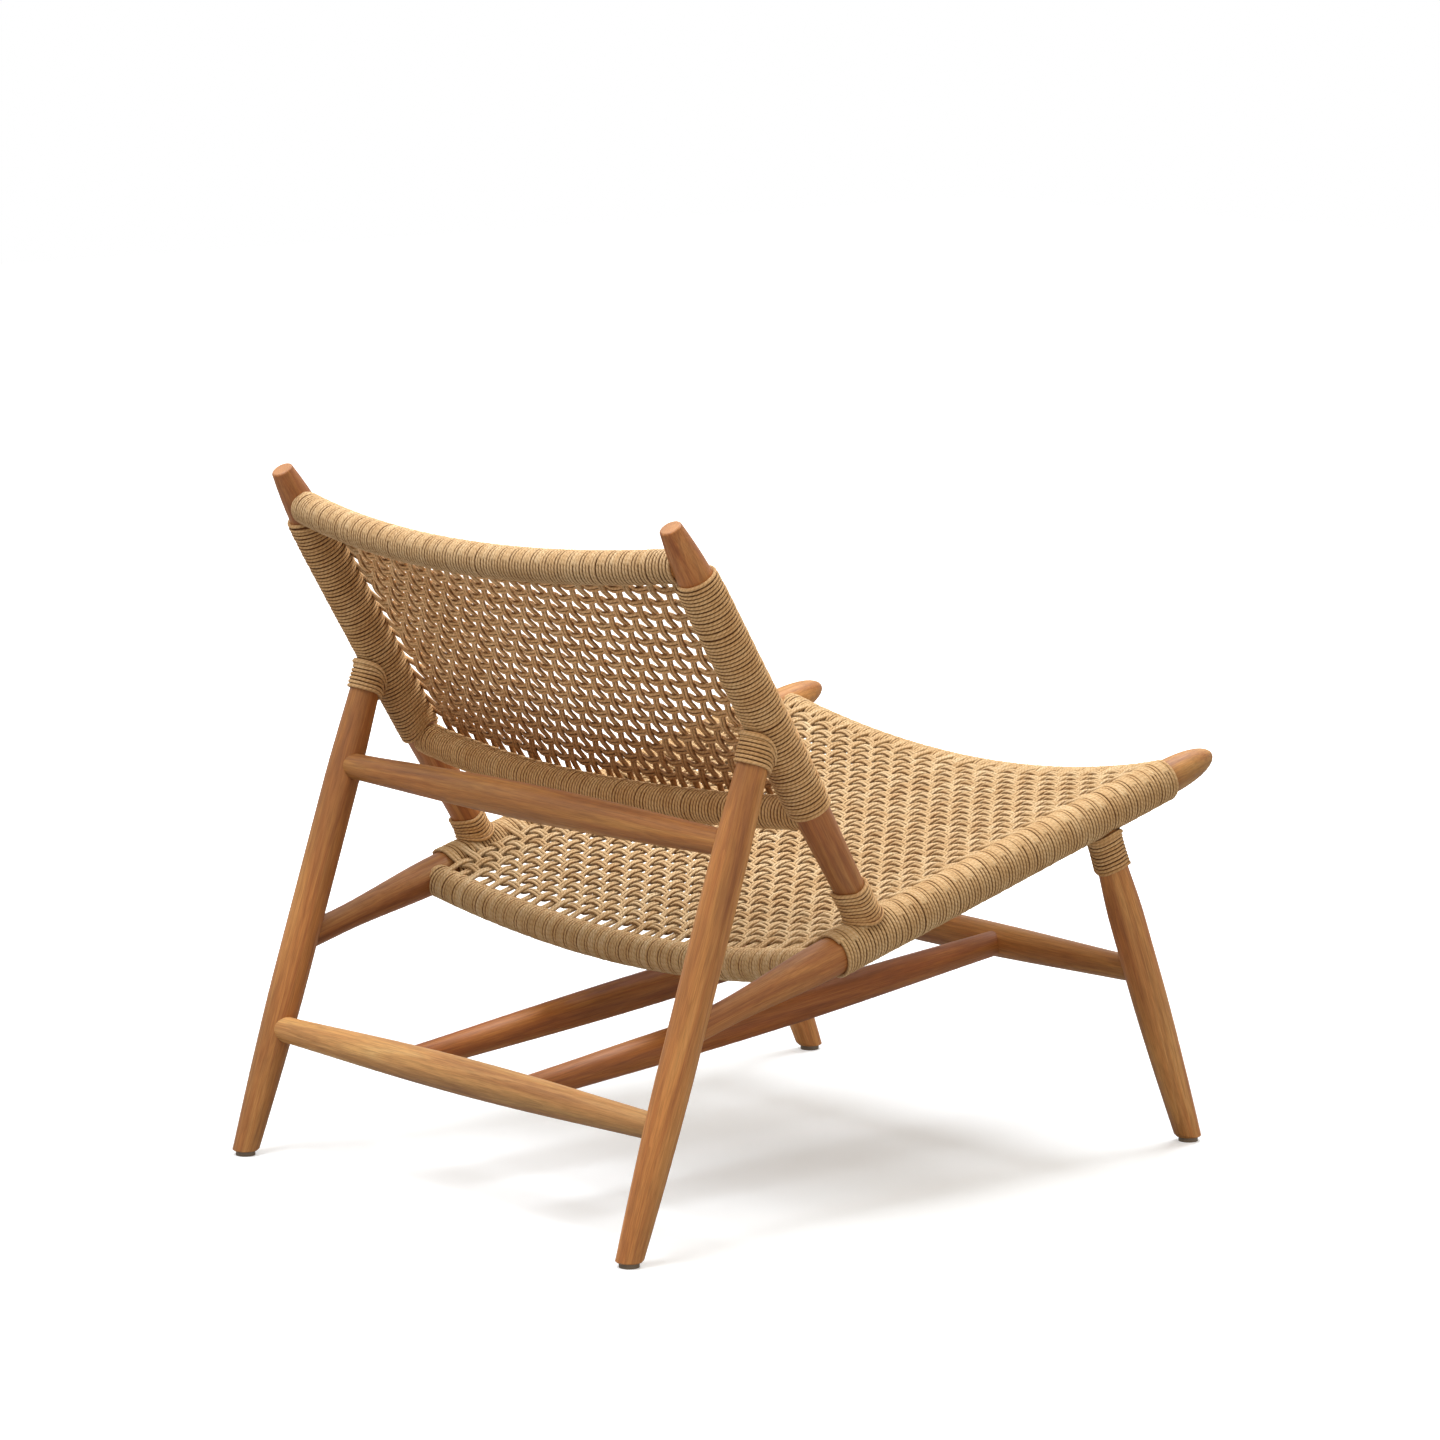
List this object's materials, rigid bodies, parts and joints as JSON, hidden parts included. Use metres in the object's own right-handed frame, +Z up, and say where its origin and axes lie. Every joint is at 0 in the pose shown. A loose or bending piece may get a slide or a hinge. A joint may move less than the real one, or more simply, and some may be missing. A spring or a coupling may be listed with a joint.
{
  "type": "armchair",
  "caption": "Low reclined lounge chair: turned hardwood frame with lashed joints, and a dished seat and curved back woven in doubled paper cord.",
  "frame": {"origin": "on the floor, under the centre of the chair's bounding box", "axes": "+Z up, -Y towards the front of the seat, +X towards the sitter's left"},
  "size_m": [0.6432, 0.7978, 0.7031],
  "materials": {
    "wood": "oiled teak, satin",
    "cord": "twisted paper cord, matt",
    "glide": "grey, matt"
  },
  "bodies": {
    "root": {"rear_leg_left": "wood", "rear_leg_right": "wood", "front_leg_left": "wood", "front_leg_right": "wood", "back_post_left": "wood", "back_post_right": "wood", "side_rail_left": "wood", "side_rail_right": "wood", "seat_rear_rail": "wood", "seat_front_rail": "wood", "back_bottom_rail": "wood", "back_top_rail": "wood", "rear_stretcher_upper": "wood", "rear_stretcher_lower": "wood", "front_stretcher": "wood", "long_stretcher_left": "wood", "long_stretcher_right": "wood", "glide_rear_left": "glide", "glide_rear_right": "glide", "glide_front_left": "glide", "glide_front_right": "glide", "side_rail_wrap_left": "cord", "side_rail_wrap_right": "cord", "back_post_wrap_left": "cord", "back_post_wrap_right": "cord", "seat_rear_wrap": "cord", "seat_front_wrap": "cord", "back_bottom_wrap": "cord", "back_top_wrap": "cord", "rear_leg_collar_left": "cord", "rear_leg_collar_right": "cord", "post_foot_collar_left": "cord", "post_foot_collar_right": "cord", "front_leg_collar_left": "cord", "front_leg_collar_right": "cord", "seat_warps": "cord", "seat_wefts": "cord", "back_warps": "cord", "back_wefts": "cord"}
  },
  "joints": []
}
